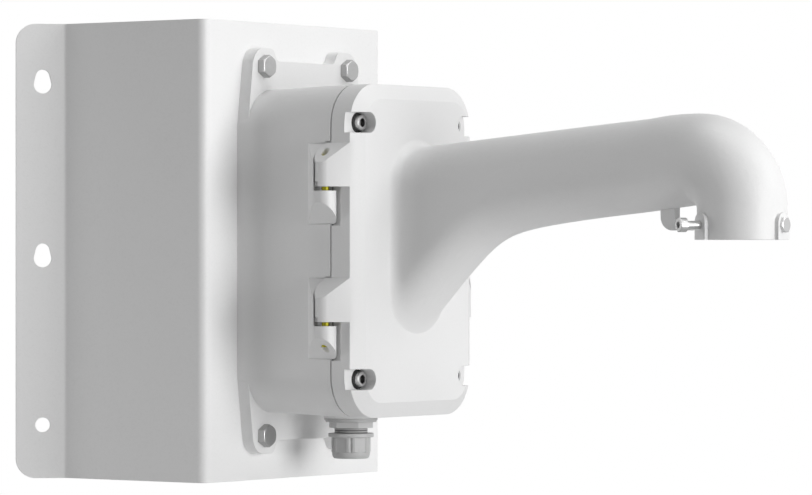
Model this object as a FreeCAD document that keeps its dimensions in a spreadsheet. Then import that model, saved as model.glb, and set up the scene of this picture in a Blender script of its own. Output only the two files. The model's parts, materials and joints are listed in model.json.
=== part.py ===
import FreeCAD, Part
import math
import os
import Sketcher
from FreeCAD import Placement, Rotation, Vector

# Corner mount bracket for a pendant camera, in millimetres.
# The origin is the edge of the building's corner at the bracket's mid height.
# The arm points along -Y, +Z is up, and the hinges of the lid are on the -X side.
# A depth is counted along the arm from the front face of the corner plate.

SIZES = {
    # Folded corner plate
    "plate_height": 300,
    "plate_width": 194,
    "side_depth": 117,
    "flange_length": 32.7,
    "sheet": 3,
    "bend_radius": 6,
    "flange_corner": 13,
    "hole_from_bend": 15,
    "keyhole_large": 5.85,
    "keyhole_small": 4.6,
    "keyhole_rise": 5.3,
    "keyhole_top": 109.9,
    "keyhole_middle": 4.9,
    "wall_hole_drop": 114.9,
    "wall_hole_radius": 4.9,
    "cable_hole_radius": 27,
    # Rear flange of the box, with an ear at each bolt
    "bolt_across": 45.4,
    "bolt_up": 120.7,
    "ear_radius": 12,
    "flange_thick": 8.8,
    "flange_waist": 82,
    "ear_lean": 10.5,
    "ear_inside": 10.4,
    "saddle_drop": 8.3,
    "saddle_slant": 3.5,
    "saddle_round": 5.5,
    # Junction box and lid
    "box_back_half": 62.6,
    "box_back_up": 105.5,
    "rim_half": 67,
    "rim_up": 107.5,
    "box_corner": 27,
    "box_wall": 4.5,
    "back_wall": 5,
    "seam_depth": 79.3,
    "gasket_thick": 1,
    "gasket_inset": 2.4,
    "gasket_width": 2,
    "lid_depth": 20.5,
    "bevel_depth": 5.5,
    "bevel_inset": 9.75,
    "lid_front_wall": 6,
    # Lid screws, M6 with a socket head
    "screw_across": 52.7,
    "screw_up": 82.3,
    "screw_radius": 3,
    "screw_length": 16,
    "screw_head_radius": 5,
    "screw_head": 6,
    "screw_socket": 5,
    "screw_boss": 10,
    "screw_boss_set_back": 1.3,
    "screw_swing_room": 1.3,
    "screw_hole_gap": 0.3,
    "pocket_radius": 6.65,
    "pocket_depth": 9.8,
    "counterbore_radius": 6.5,
    "counterbore_depth": 2,
    "ring_radius": 5.2,
    "ring_thick": 0.8,
    # Hinges
    "hinge_reach": 72.8,
    "hinge_up": 43.3,
    "hinge_half": 26.1,
    "knuckle_radius": 7,
    "knuckle_gap": 2.6,
    "lobe_foot": 2.1,
    "cradle_gap": 0.8,
    "ramp_depth": 60.4,
    "pin_radius": 2.5,
    "pin_gap": 0.05,
    "pin_inset": 8,
    "pin_foot_wall": 10,
    "pin_head_wall": 12,
    "pin_end_gap": 0.3,
    "notch_depth": 7.1,
    "relief_width": 2.6,
    "relief_height": 3.3,
    # Lug on the lid's free side
    "lug_proud": 2.05,
    "lug_top": 17,
    "lug_slope": 8,
    "lug_foot": 43.8,
    "lug_set_back": 2.2,
    "lug_thick": 12,
    # Arm, elbow and camera collar
    "arm_radius": 28.5,
    "arm_wall": 4.5,
    "arm_top_at_lid": 67.1,
    "arm_rise": 0.0875,
    "flare_foot": 50,
    "flare_slope": 1.1,
    "flare_blend": 12,
    "root_round": 8,
    "root_sink": 0.4,
    "elbow_radius": 31,
    "elbow_depth": 315,
    "collar_radius": 28,
    "collar_rim": 6.9,
    "collar_bore": 22.4,
    "pad_proud": 1.8,
    "pad_half_width": 6.5,
    "pad_height": 16.8,
    "collar_screw_up": 9.1,
    # Collar screws, M5
    "lock_screw_radius": 2.5,
    "lock_screw_length": 16,
    "lock_screw_out": 39.7,
    "lock_head_radius": 4.45,
    "lock_head": 5,
    "lock_socket": 4,
    "stop_screw_length": 8,
    "stop_flats": 9,
    "stop_head": 2.2,
    "thread_gap": 0.05,
    # Safety rope hook
    "hook_depth": 288.3,
    "hook_leg": 10.5,
    "hook_low": 12.8,
    "hook_bar": 5.8,
    "hook_tip": 22.5,
    "hook_thick": 6,
    "hook_round": 8.5,
    "hook_inner_round": 3,
    # Box bolts, M8 with hex heads
    "bolt_radius": 4,
    "bolt_flats": 13,
    "bolt_head": 5.3,
    "bolt_length": 25,
    "bolt_hole_gap": 0.5,
    "washer_radius": 8,
    "washer_thick": 1.6,
    "spring_washer_radius": 6.6,
    "spring_washer_thick": 2,
    "nut_thick": 6.5,
    # Cable gland
    "gland_depth": 46,
    "gland_boss_radius": 17.8,
    "gland_boss_face": 109.6,
    "gland_boss_length": 10.85,
    "gland_stem_radius": 10,
    "gland_stem_gap": 0.3,
    "gland_washer_radius": 15.6,
    "gland_washer_thick": 2.6,
    "gland_hex_flats": 25.3,
    "gland_hex_thick": 3.9,
    "gland_neck_radius": 10.85,
    "gland_neck_length": 10,
    "gland_neck_shown": 3.5,
    "gland_bore_radius": 7,
    "gland_nut_collar_radius": 14.95,
    "gland_nut_collar": 2.6,
    "gland_nut_radius": 13.4,
    "gland_nut_body": 9.9,
    "gland_dome_radius": 12.5,
    "gland_dome_end_radius": 11,
    "gland_dome": 4.1,
    "gland_nut_ribs": 24,
    "gland_rib_radius": 1.1,
    "gland_mouth_radius": 6.5,
    "locknut_flats": 27,
    "locknut_thick": 5,
    # Rubber seal behind the box, round the cable hole
    "seal_radius": 30,
    "seal_width": 3,
    "seal_depth": 1.5,
}

# Points on each section of the arm
SECTION_POINTS = 32
# Collar screws, in degrees round the collar from straight ahead: the stop screw, then two lock screws
SCREW_TURNS = (0, 120, -120)

doc = FreeCAD.newDocument("corner_mount_bracket")


class Size:
    """A value together with the sheet expression that gives it."""

    def __init__(self, value, text):
        self.value = float(value)
        self.text = text

    def _join(self, sign, other, value):
        return Size(value, "(%s %s %s)" % (self.text, sign, other.text))

    def __add__(self, other):
        other = size_of(other)
        return self._join("+", other, self.value + other.value)

    def __sub__(self, other):
        other = size_of(other)
        return self._join("-", other, self.value - other.value)

    def __mul__(self, other):
        other = size_of(other)
        return self._join("*", other, self.value * other.value)

    def __truediv__(self, other):
        other = size_of(other)
        return self._join("/", other, self.value / other.value)

    def __radd__(self, other):
        return size_of(other) + self

    def __rsub__(self, other):
        return size_of(other) - self

    def __rmul__(self, other):
        return size_of(other) * self

    def __neg__(self):
        return Size(-self.value, "(0 - %s)" % self.text)

    def __float__(self):
        return self.value


def size_of(item):
    """Any number as a Size, so that plain numbers mix with sheet values."""
    if isinstance(item, Size):
        return item
    return Size(item, "(%.10g)" % item)


class Sheet:
    """The driving dimensions: a spreadsheet object, read as sheet.name."""

    def __init__(self, values):
        self._table = doc.addObject("Spreadsheet::Sheet", "Sizes")
        for row, (name, value) in enumerate(values.items(), start=1):
            self._table.set("A%d" % row, name)
            self._table.set("B%d" % row, str(value))
            self._table.setAlias("B%d" % row, name)
            setattr(self, name, Size(value, "Sizes." + name))
        doc.recompute()


sheet = Sheet(SIZES)
ROOT_TWO = math.sqrt(2)

# The two wall flanges lie flat on the walls, whose planes meet at the origin.
standoff = sheet.side_depth - sheet.plate_width / 2 + sheet.sheet * ROOT_TWO
box_rim = sheet.seam_depth - sheet.gasket_thick / 2
lid_rim = sheet.seam_depth + sheet.gasket_thick / 2
lid_front = sheet.seam_depth + sheet.lid_depth
pocket_floor = lid_front - sheet.pocket_depth
screw_seat = pocket_floor - sheet.counterbore_depth
cradle_radius = sheet.knuckle_radius + sheet.cradle_gap
gland_face = -sheet.gland_boss_face


def ahead(depth):
    """The Y of a depth along the arm."""
    return -(standoff + depth)


def bind(item, path, value):
    """Drive a property of an object from the sheet."""
    item.setExpression(path, size_of(value).text)


def put(item, x=0, y=0, z=0, rotation=None):
    """Place an object, its position driven by the sheet."""
    item.Placement = Placement(Vector(0, 0, 0), rotation or Rotation())
    for name, value in (("x", x), ("y", y), ("z", z)):
        bind(item, "Placement.Base." + name, value)
    return item


def new_body(name):
    body = doc.addObject("PartDesign::Body", name)
    body.Label = name
    return body


def new_sketch(body, plane, lift=0, turn=None):
    """A sketch parallel to an origin plane of its own body, lifted along the plane's normal."""
    sketch = body.newObject("Sketcher::SketchObject", body.Name + "_sketch")
    support = next(item for item in body.Origin.OriginFeatures if item.Role == plane)
    sketch.AttachmentSupport = [(support, "")]
    sketch.MapMode = "FlatFace"
    sketch.AttachmentOffset = Placement(Vector(0, 0, 0), turn or Rotation())
    bind(sketch, "AttachmentOffset.Base.z", lift)
    return sketch


def pin_point(sketch, geometry, point, x, y):
    """Hold a point of the sketch at its two sheet-driven coordinates."""
    for kind, axis, value in (("DistanceX", -2, size_of(x)), ("DistanceY", -1, size_of(y))):
        if abs(value.value) < 1e-9:
            sketch.addConstraint(Sketcher.Constraint("PointOnObject", geometry, point, axis))
            continue
        index = sketch.addConstraint(Sketcher.Constraint(kind, -1, 1, geometry, point, value.value))
        sketch.setExpression("Constraints[%d]" % index, value.text)


def polygon(sketch, corners):
    """A closed outline of straight lines through the corners."""
    points = [Vector(float(x), float(y), 0) for x, y in corners]
    count = len(points)
    first = sketch.GeometryCount
    for number in range(count):
        sketch.addGeometry(Part.LineSegment(points[number], points[(number + 1) % count]))
    for number in range(count):
        following = first + (number + 1) % count
        sketch.addConstraint(Sketcher.Constraint("Coincident", first + number, 2, following, 1))
    for number, (x, y) in enumerate(corners):
        pin_point(sketch, first + number, 1, x, y)


def rectangle(sketch, low_x, low_y, high_x, high_y):
    polygon(sketch, [(low_x, low_y), (high_x, low_y), (high_x, high_y), (low_x, high_y)])


def circle(sketch, x, y, radius):
    radius = size_of(radius)
    shape = Part.Circle(Vector(float(x), float(y), 0), Vector(0, 0, 1), radius.value)
    geometry = sketch.addGeometry(shape)
    pin_point(sketch, geometry, 3, x, y)
    index = sketch.addConstraint(Sketcher.Constraint("Radius", geometry, radius.value))
    sketch.setExpression("Constraints[%d]" % index, radius.text)


def rounded(sketch, half, up, radius):
    """A rectangle about the sketch's origin, its corners rounded by tangent arcs."""
    half, up, radius = size_of(half), size_of(up), size_of(radius)
    across, rise = half.value - radius.value, up.value - radius.value
    normal = Vector(0, 0, 1)
    sides, arcs = [], []
    for number, (x, y) in enumerate([(1, 1), (-1, 1), (-1, -1), (1, -1)]):
        start = number * math.pi / 2
        centre = Vector(across * x, rise * y, 0)
        arc = Part.ArcOfCircle(Part.Circle(centre, normal, radius.value), start, start + math.pi / 2)
        arcs.append(sketch.addGeometry(arc))
    corners = [sketch.Geometry[arc] for arc in arcs]
    for number in range(4):
        following = corners[(number + 1) % 4]
        sides.append(sketch.addGeometry(Part.LineSegment(corners[number].EndPoint,
                                                         following.StartPoint)))
    for number in range(4):
        following = arcs[(number + 1) % 4]
        sketch.addConstraint(Sketcher.Constraint("Tangent", arcs[number], 2, sides[number], 1))
        sketch.addConstraint(Sketcher.Constraint("Tangent", sides[number], 2, following, 1))
    # The two far corners fix the width and the height, and every arc has the one radius
    pin_point(sketch, arcs[0], 3, half - radius, up - radius)
    pin_point(sketch, arcs[2], 3, radius - half, radius - up)
    for arc in arcs[:3]:
        index = sketch.addConstraint(Sketcher.Constraint("Radius", arc, radius.value))
        sketch.setExpression("Constraints[%d]" % index, radius.text)


def hexagon(sketch, flats):
    """A regular hexagon about the sketch's origin, from its width across flats."""
    flats = size_of(flats)
    corner = flats / math.sqrt(3)
    corners = []
    for number in range(6):
        angle = math.radians(30 + 60 * number)
        corners.append((corner * round(math.cos(angle), 12), corner * round(math.sin(angle), 12)))
    polygon(sketch, corners)


def pad(body, sketch, length):
    feature = body.newObject("PartDesign::Pad", body.Name + "_pad")
    feature.Profile = sketch
    bind(feature, "Length", length)
    sketch.Visibility = False
    doc.recompute()
    return feature


def pocket(body, sketch, length):
    """Cut along the sketch's normal, checked against the volume that it takes."""
    before = body.Shape.Volume
    feature = body.newObject("PartDesign::Pocket", body.Name + "_pocket")
    feature.Profile = sketch
    feature.Reversed = True
    bind(feature, "Length", length)
    sketch.Visibility = False
    doc.recompute()
    if body.Shape.Volume > before - 0.01:
        raise RuntimeError(feature.Name + " cuts nothing")
    return feature


def loft(body, first, second, cut=False):
    """A straight loft between two sketches, added to the body or cut from it."""
    kind = "PartDesign::SubtractiveLoft" if cut else "PartDesign::AdditiveLoft"
    feature = body.newObject(kind, body.Name + "_loft")
    feature.Profile = first
    feature.Sections = [second]
    feature.Ruled = True
    doc.recompute()
    return feature


def revolve(body, sketch, axis="V_Axis"):
    feature = body.newObject("PartDesign::Revolution", body.Name + "_turned")
    feature.Profile = sketch
    feature.ReferenceAxis = (sketch, [axis])
    feature.Angle = 360
    doc.recompute()
    return feature


def edges_where(feature, test):
    """Names of the edges whose middle point and direction pass the test."""
    names = []
    for number, edge in enumerate(feature.Shape.Edges, start=1):
        middle = edge.valueAt((edge.FirstParameter + edge.LastParameter) / 2)
        direction = edge.tangentAt((edge.FirstParameter + edge.LastParameter) / 2)
        if test(middle, direction):
            names.append("Edge%d" % number)
    return names


def fillet(body, radius, test):
    base = body.Tip
    feature = body.newObject("PartDesign::Fillet", body.Name + "_fillet")
    names = edges_where(base, test)
    if not names:
        raise RuntimeError(feature.Name + " finds no edge")
    feature.Base = (base, names)
    bind(feature, "Radius", radius)
    doc.recompute()
    return feature


def upright(direction):
    return abs(direction.z) > 0.999


def lengthwise(direction):
    return abs(direction.y) > 0.98


def near(value, target, reach=0.05):
    return abs(value - float(target)) < reach


def mirrored_signs():
    return [(across, up) for across in (-1, 1) for up in (-1, 1)]


def group(name, master, places):
    """One node of like solids: a link to the master for each place."""
    links = []
    for number, place in enumerate(places, start=1):
        link = doc.addObject("App::Link", "%s_%d" % (name, number))
        link.LinkedObject = master
        put(link, *place)
        links.append(link)
    compound = doc.addObject("Part::Compound", name)
    compound.Label = name
    compound.Links = links
    return compound


# Corner plate

def keyhole(sketch, reach, centre_up):
    """A teardrop: two arcs, the large one below, joined by their two outer tangents."""
    large, small, rise = sheet.keyhole_large, sheet.keyhole_small, sheet.keyhole_rise
    lean = math.asin((large.value - small.value) / rise.value)
    x, low = float(reach), float(centre_up)
    high = low + rise.value
    side, lift = math.cos(lean), math.sin(lean)
    up = Vector(0, 0, 1)
    large_circle = Part.Circle(Vector(x, low, 0), up, large.value)
    small_circle = Part.Circle(Vector(x, high, 0), up, small.value)
    first = sketch.addGeometry(Part.ArcOfCircle(large_circle, math.pi - lean, 2 * math.pi + lean))
    second = sketch.addGeometry(Part.ArcOfCircle(small_circle, lean, math.pi - lean))
    right = sketch.addGeometry(Part.LineSegment(
        Vector(x + large.value * side, low + large.value * lift, 0),
        Vector(x + small.value * side, high + small.value * lift, 0)))
    left = sketch.addGeometry(Part.LineSegment(
        Vector(x - small.value * side, high + small.value * lift, 0),
        Vector(x - large.value * side, low + large.value * lift, 0)))
    for one, one_end, other, other_end in ((first, 2, right, 1), (right, 2, second, 1),
                                           (second, 2, left, 1), (left, 2, first, 1)):
        sketch.addConstraint(Sketcher.Constraint("Tangent", one, one_end, other, other_end))
    for arc, radius, height in ((first, large, centre_up), (second, small, centre_up + rise)):
        pin_point(sketch, arc, 3, reach, height)
        index = sketch.addConstraint(Sketcher.Constraint("Radius", arc, radius.value))
        sketch.setExpression("Constraints[%d]" % index, radius.text)


def make_corner_plate():
    body = new_body("corner_plate")
    half = sheet.plate_width / 2
    thick = sheet.sheet
    front = ahead(0)
    bend = front + sheet.side_depth
    run = sheet.flange_length / ROOT_TWO
    thin = thick / ROOT_TWO
    # Where the inner faces of side plate and flange meet
    inner_half = half - thick
    inner_bend = bend + thick * (ROOT_TWO - 1)
    left = [(-half, front), (-half, bend), (-(half + run), bend + run),
            (-(half + run - thin), bend + run + thin), (-inner_half, inner_bend),
            (-inner_half, front + thick)]
    right = [(-x, y) for x, y in reversed(left)]
    sketch = new_sketch(body, "XY_Plane", -sheet.plate_height / 2)
    polygon(sketch, left + right)
    pad(body, sketch, sheet.plate_height)

    def bend_edge(x, y):
        return lambda at, along: upright(along) and near(abs(at.x), x) and near(at.y, y)

    inner_radius = sheet.bend_radius - thick
    fillet(body, sheet.bend_radius, bend_edge(half, front))
    fillet(body, inner_radius, bend_edge(inner_half, front + thick))
    fillet(body, inner_radius, bend_edge(half, bend))
    fillet(body, sheet.bend_radius, bend_edge(inner_half, inner_bend))
    tip = float(half + run) - 1.5 * float(thick)
    top = float(sheet.plate_height) / 2
    fillet(body, sheet.flange_corner,
           lambda at, along: abs(at.x) > tip and near(abs(at.z), top) and abs(along.z) < 0.1
           and near(abs(along.x), 1 / ROOT_TWO) and along.x * along.y * at.x < 0)

    # Box bolts and cable hole in the front plate
    sketch = new_sketch(body, "XZ_Plane", standoff - thick - 1)
    for across, up in mirrored_signs():
        circle(sketch, sheet.bolt_across * across, sheet.bolt_up * up,
               sheet.bolt_radius + sheet.bolt_hole_gap)
    circle(sketch, 0, 0, sheet.cable_hole_radius)
    pocket(body, sketch, thick + 2)

    # Wall fixings in the flanges, seen square on from outside
    reach = sheet.plate_width / ROOT_TWO - thick + sheet.hole_from_bend
    for side in (-1, 1):
        turn = Rotation(Vector(0, 1, 0), 45 * side)
        sketch = new_sketch(body, "XZ_Plane", 0, turn)
        keyhole(sketch, reach * side, sheet.keyhole_top)
        keyhole(sketch, reach * side, -sheet.keyhole_middle)
        circle(sketch, reach * side, -sheet.wall_hole_drop, sheet.wall_hole_radius)
        pocket(body, sketch, thick + 1)
    return body


# Junction box

def ear_outline():
    """Quarter of the rear flange, from the waist up over the ear to the saddle."""
    top = sheet.bolt_up + sheet.ear_radius
    return [(sheet.box_back_half, sheet.flange_waist),
            (sheet.bolt_across + sheet.ear_lean, top),
            (sheet.bolt_across - sheet.ear_inside, top),
            (sheet.bolt_across - sheet.ear_inside - sheet.saddle_slant, top - sheet.saddle_drop)]


def add_rear_flange(body):
    quarter = ear_outline()
    upper = quarter + [(-x, z) for x, z in reversed(quarter)]
    lower = [(-x, -z) for x, z in upper]
    sketch = new_sketch(body, "XZ_Plane", standoff)
    polygon(sketch, upper + lower)
    pad(body, sketch, sheet.flange_thick)
    for (x, z), radius in zip(quarter[1:], (sheet.ear_radius, sheet.saddle_round, sheet.saddle_round)):
        fillet(body, radius, lambda at, along, x=x, z=z: lengthwise(along)
               and near(abs(at.x), x) and near(abs(at.z), z))


def box_outline(body, depth, half, up, inset):
    """A rounded outline of the box or the lid at a depth, drawn in by the inset."""
    sketch = new_sketch(body, "XZ_Plane", standoff + depth)
    rounded(sketch, half - inset, up - inset, sheet.box_corner - inset)
    return sketch


def drafted_half(depth):
    """Half width of the box at a depth, as the draft opens it towards the lid."""
    return sheet.box_back_half + (sheet.rim_half - sheet.box_back_half) * depth / box_rim


def drafted_up(depth):
    return sheet.box_back_up + (sheet.rim_up - sheet.box_back_up) * depth / box_rim


def add_box_shell(body):
    loft(body, box_outline(body, 0, sheet.box_back_half, sheet.box_back_up, 0),
         box_outline(body, box_rim, sheet.rim_half, sheet.rim_up, 0))
    floor = sheet.back_wall
    loft(body, box_outline(body, floor, drafted_half(floor), drafted_up(floor), sheet.box_wall),
         box_outline(body, box_rim, sheet.rim_half, sheet.rim_up, sheet.box_wall), cut=True)


def screw_circles(body, depth, radius):
    sketch = new_sketch(body, "XZ_Plane", standoff + depth)
    for across, up in mirrored_signs():
        circle(sketch, sheet.screw_across * across, sheet.screw_up * up, radius)
    return sketch


def add_box_bosses(body):
    """Four bosses for the lid screws, bored wide enough for a screw to swing out."""
    top = box_rim - sheet.screw_boss_set_back
    start = sheet.back_wall / 2
    pad(body, screw_circles(body, start, sheet.screw_boss), top - start)
    bore_depth = sheet.screw_length
    pocket(body, screw_circles(body, top - bore_depth, sheet.screw_radius + sheet.screw_swing_room),
           bore_depth)


def hinge_zones(centre):
    """Heights of one hinge: foot and head of the box knuckle, foot of the lid lobe, top."""
    return (centre - sheet.hinge_half, centre - sheet.lobe_foot - sheet.knuckle_gap,
            centre - sheet.lobe_foot, centre + sheet.hinge_half)


def slope_cut(body, wall, height, direction):
    """A 45 degree wedge off the end of a lug, highest or lowest at the wall."""
    reach = sheet.knuckle_radius * 4
    sketch = new_sketch(body, "XZ_Plane", standoff + sheet.ramp_depth - sheet.knuckle_radius)
    polygon(sketch, [(-wall, height), (-(wall + reach), height),
                     (-(wall + reach), height - reach * direction)])
    pocket(body, sketch, sheet.knuckle_radius * 8)


def axis_circle(body, height, radius):
    sketch = new_sketch(body, "XY_Plane", height)
    circle(sketch, -sheet.hinge_reach, ahead(sheet.seam_depth), radius)
    return sketch


def add_box_hinge(body, centre, bore_foot, bore_head):
    """A lug on the box: a ramp out of the wall, a knuckle below and a cradle above."""
    foot, head, _, top = hinge_zones(centre)
    wall = sheet.rim_half - sheet.box_wall / 2
    outer = sheet.hinge_reach + sheet.knuckle_radius
    wall_face = drafted_half(sheet.ramp_depth)
    shoulder = sheet.knuckle_radius / 3
    ramp_end = sheet.ramp_depth + (outer - shoulder - wall_face)
    sketch = new_sketch(body, "XY_Plane", foot)
    polygon(sketch, [(-wall, ahead(box_rim)), (-wall, ahead(sheet.ramp_depth)),
                     (-wall_face, ahead(sheet.ramp_depth)),
                     (-(outer - shoulder), ahead(ramp_end)),
                     (-outer, ahead(ramp_end + shoulder * 1.7)),
                     (-outer, ahead(box_rim))])
    pad(body, sketch, top - foot)
    pad(body, axis_circle(body, foot, sheet.knuckle_radius), head - foot)
    pocket(body, axis_circle(body, head, cradle_radius), top - head + 1)
    slope_cut(body, drafted_half(sheet.ramp_depth), top, 1)
    slope_cut(body, drafted_half(sheet.ramp_depth), foot, -1)
    pocket(body, axis_circle(body, bore_foot, sheet.pin_radius + sheet.pin_gap),
           bore_head - bore_foot)


def add_gland_boss(body):
    sketch = new_sketch(body, "XY_Plane", gland_face)
    circle(sketch, 0, ahead(sheet.gland_depth), sheet.gland_boss_radius)
    pad(body, sketch, sheet.gland_boss_length)
    sketch = new_sketch(body, "XY_Plane", gland_face - 1)
    circle(sketch, 0, ahead(sheet.gland_depth), sheet.gland_stem_radius + sheet.gland_stem_gap)
    pocket(body, sketch, sheet.gland_boss_length + 2)


def add_back_openings(body):
    """Bolt holes in the ears, the cable hole and the groove of its rubber seal."""
    sketch = new_sketch(body, "XZ_Plane", standoff - 1)
    for across, up in mirrored_signs():
        circle(sketch, sheet.bolt_across * across, sheet.bolt_up * up,
               sheet.bolt_radius + sheet.bolt_hole_gap)
    circle(sketch, 0, 0, sheet.cable_hole_radius)
    pocket(body, sketch, sheet.flange_thick + 2)
    sketch = new_sketch(body, "XZ_Plane", standoff)
    circle(sketch, 0, 0, sheet.seal_radius)
    circle(sketch, 0, 0, sheet.seal_radius + sheet.seal_width)
    pocket(body, sketch, sheet.seal_depth)


def make_junction_box():
    body = new_body("junction_box")
    add_rear_flange(body)
    add_box_shell(body)
    add_box_bosses(body)
    upper, lower = sheet.hinge_up, -sheet.hinge_up
    # The upper pin goes in from above, and the lower pin from below.
    add_box_hinge(body, upper, hinge_zones(upper)[0] + sheet.pin_foot_wall, hinge_zones(upper)[1] + 1)
    add_box_hinge(body, lower, hinge_zones(lower)[0] - 1, hinge_zones(lower)[1] + 1)
    add_gland_boss(body)
    add_back_openings(body)
    return body


# Lid with arm, elbow and hook, one casting

def add_lid_shell(body):
    outline = box_outline(body, lid_rim, sheet.rim_half, sheet.rim_up, 0)
    base = pad(body, outline, lid_front - lid_rim)
    front = float(ahead(lid_front))
    feature = body.newObject("PartDesign::Chamfer", "lid_bevel")
    feature.Base = (base, edges_where(base, lambda at, along: near(at.y, front)))
    feature.ChamferType = "Two distances"
    bind(feature, "Size", sheet.bevel_inset)
    bind(feature, "Size2", sheet.bevel_depth)
    doc.recompute()
    inner = box_outline(body, lid_rim, sheet.rim_half, sheet.rim_up, sheet.box_wall)
    pocket(body, inner, lid_front - sheet.lid_front_wall - lid_rim)


def add_lid_screw_places(body):
    """Boss, side pocket, counterbore and hole for each of the four screws."""
    ceiling = lid_front - sheet.lid_front_wall
    pad(body, screw_circles(body, lid_rim, sheet.screw_boss), ceiling - lid_rim + 1)
    web = new_sketch(body, "XZ_Plane", standoff + lid_rim)
    slot = new_sketch(body, "XZ_Plane", standoff + pocket_floor)
    outer = sheet.rim_half - sheet.box_wall / 1.5
    for across, up in mirrored_signs():
        middle = sheet.screw_up * up
        rectangle(web, sheet.screw_across * across, middle - sheet.screw_boss,
                  outer * across, middle + sheet.screw_boss)
        rectangle(slot, sheet.screw_across * across, middle - sheet.pocket_radius,
                  (sheet.rim_half + 5) * across, middle + sheet.pocket_radius)
    pad(body, web, ceiling - lid_rim + 1)
    pocket(body, slot, sheet.pocket_depth + 1)
    pocket(body, screw_circles(body, pocket_floor, sheet.pocket_radius), sheet.pocket_depth + 1)
    pocket(body, screw_circles(body, screw_seat, sheet.counterbore_radius),
           sheet.counterbore_depth + 1)
    pocket(body, screw_circles(body, lid_rim - 1, sheet.screw_radius + sheet.screw_hole_gap),
           screw_seat - lid_rim + 2)


def lobe_tangent():
    """Where the straight front of a lobe leaves its round, seen from above."""
    across = (sheet.hinge_reach - sheet.rim_half).value
    forward = (sheet.lid_depth - sheet.bevel_depth).value
    spread = math.acos(sheet.knuckle_radius.value / math.hypot(across, forward))
    angle = math.atan2(forward, across) + spread
    return round(math.cos(angle), 12), round(math.sin(angle), 12)


def add_lid_hinge(body, centre, bore_foot, bore_head):
    """A lobe on the lid, and the notch in the rim that clears the box's knuckle."""
    foot, _, lobe_foot, top = hinge_zones(centre)
    inside = sheet.rim_half - sheet.box_wall / 1.5
    axis_y = ahead(sheet.seam_depth)
    touch_x, touch_y = lobe_tangent()
    bevel_start = ahead(lid_front - sheet.bevel_depth)
    pad(body, axis_circle(body, lobe_foot, sheet.knuckle_radius), top - lobe_foot)
    sketch = new_sketch(body, "XY_Plane", lobe_foot)
    polygon(sketch, [(-sheet.hinge_reach, axis_y),
                     (-sheet.hinge_reach + sheet.knuckle_radius * touch_x,
                      axis_y - sheet.knuckle_radius * touch_y),
                     (-sheet.rim_half, bevel_start), (-inside, bevel_start),
                     (-inside, ahead(lid_rim)), (-sheet.hinge_reach, ahead(lid_rim))])
    pad(body, sketch, top - lobe_foot)
    slope_cut(body, sheet.rim_half, top, 1)
    notch_inside = sheet.hinge_reach - cradle_radius
    sketch = new_sketch(body, "XY_Plane", foot - sheet.cradle_gap)
    rectangle(sketch, -(sheet.rim_half + 5), ahead(lid_rim + sheet.notch_depth),
              -notch_inside, ahead(lid_rim - 1))
    pocket(body, sketch, lobe_foot - foot + sheet.cradle_gap)
    outer = sheet.hinge_reach + sheet.knuckle_radius
    sketch = new_sketch(body, "XY_Plane", lobe_foot)
    rectangle(sketch, -(outer + 1), ahead(sheet.seam_depth - 1),
              -(outer - sheet.relief_width), ahead(sheet.seam_depth - sheet.knuckle_radius - 1))
    pocket(body, sketch, sheet.relief_height)
    pocket(body, axis_circle(body, bore_foot, sheet.pin_radius + sheet.pin_gap),
           bore_head - bore_foot)


def add_free_lug(body):
    """A small lug on the side away from the hinges, sloped above and blunt below."""
    inside = sheet.rim_half - sheet.box_wall / 2
    outside = sheet.rim_half + sheet.lug_proud
    slope_end = -(sheet.lug_top + sheet.lug_slope)
    sketch = new_sketch(body, "XZ_Plane", standoff + lid_rim + sheet.lug_set_back)
    polygon(sketch, [(inside, -sheet.lug_top), (outside, slope_end), (outside, -sheet.lug_foot),
                     (inside, -sheet.lug_foot)])
    pad(body, sketch, sheet.lug_thick)


def make_lid():
    body = new_body("lid_casting")
    add_lid_shell(body)
    add_lid_screw_places(body)
    upper, lower = sheet.hinge_up, -sheet.hinge_up
    add_lid_hinge(body, upper, hinge_zones(upper)[2] - 1, hinge_zones(upper)[3])
    add_lid_hinge(body, lower, hinge_zones(lower)[2] - 1, hinge_zones(lower)[3] - sheet.pin_head_wall)
    add_free_lug(body)
    return body


def obround_points(half_width, top, bottom):
    """Points evenly spaced round an upright obround, from its top, as (across, up) pairs."""
    straight = max(top - bottom - 2 * half_width, 0)
    around = 2 * math.pi * half_width + 2 * straight
    quarter = math.pi * half_width / 2
    points = []
    for number in range(SECTION_POINTS):
        walk = around * number / SECTION_POINTS
        side = 1 if walk <= around / 2 else -1
        walk = min(walk, around - walk)
        if walk < quarter:
            angle = walk / half_width
            across, up = half_width * math.sin(angle), top - half_width * (1 - math.cos(angle))
        elif walk < quarter + straight:
            across, up = half_width, top - half_width - (walk - quarter)
        else:
            angle = math.pi / 2 + (walk - quarter - straight) / half_width
            across, up = half_width * math.sin(angle), bottom + half_width * (1 + math.cos(angle))
        points.append((side * across, up))
    return points


def arm_top(depth):
    return sheet.arm_top_at_lid.value + sheet.arm_rise.value * (depth - lid_front.value)


def arm_bottom(depth):
    """Underside: the straight tube and the steep foot, blended as a hyperbola."""
    tube = arm_top(depth) - 2 * sheet.arm_radius.value
    foot = sheet.flare_slope.value * (depth - lid_front.value) - sheet.flare_foot.value
    middle, spread = (tube + foot) / 2, (tube - foot) / 2
    return middle - math.hypot(spread, sheet.flare_blend.value)


def elbow_centre_up():
    slope = math.atan(sheet.arm_rise.value)
    start_up = arm_top(sheet.elbow_depth.value) - sheet.arm_radius.value / math.cos(slope)
    return start_up - sheet.elbow_radius.value / math.cos(slope)


def closed_curve(points):
    curve = Part.BSplineCurve()
    curve.interpolate(points, PeriodicFlag=True)
    return Part.Wire([curve.toShape()])


def upright_section(depth, half_width, top, bottom):
    y = float(ahead(depth))
    return closed_curve([Vector(x, y, z) for x, z in obround_points(half_width, top, bottom)])


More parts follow.
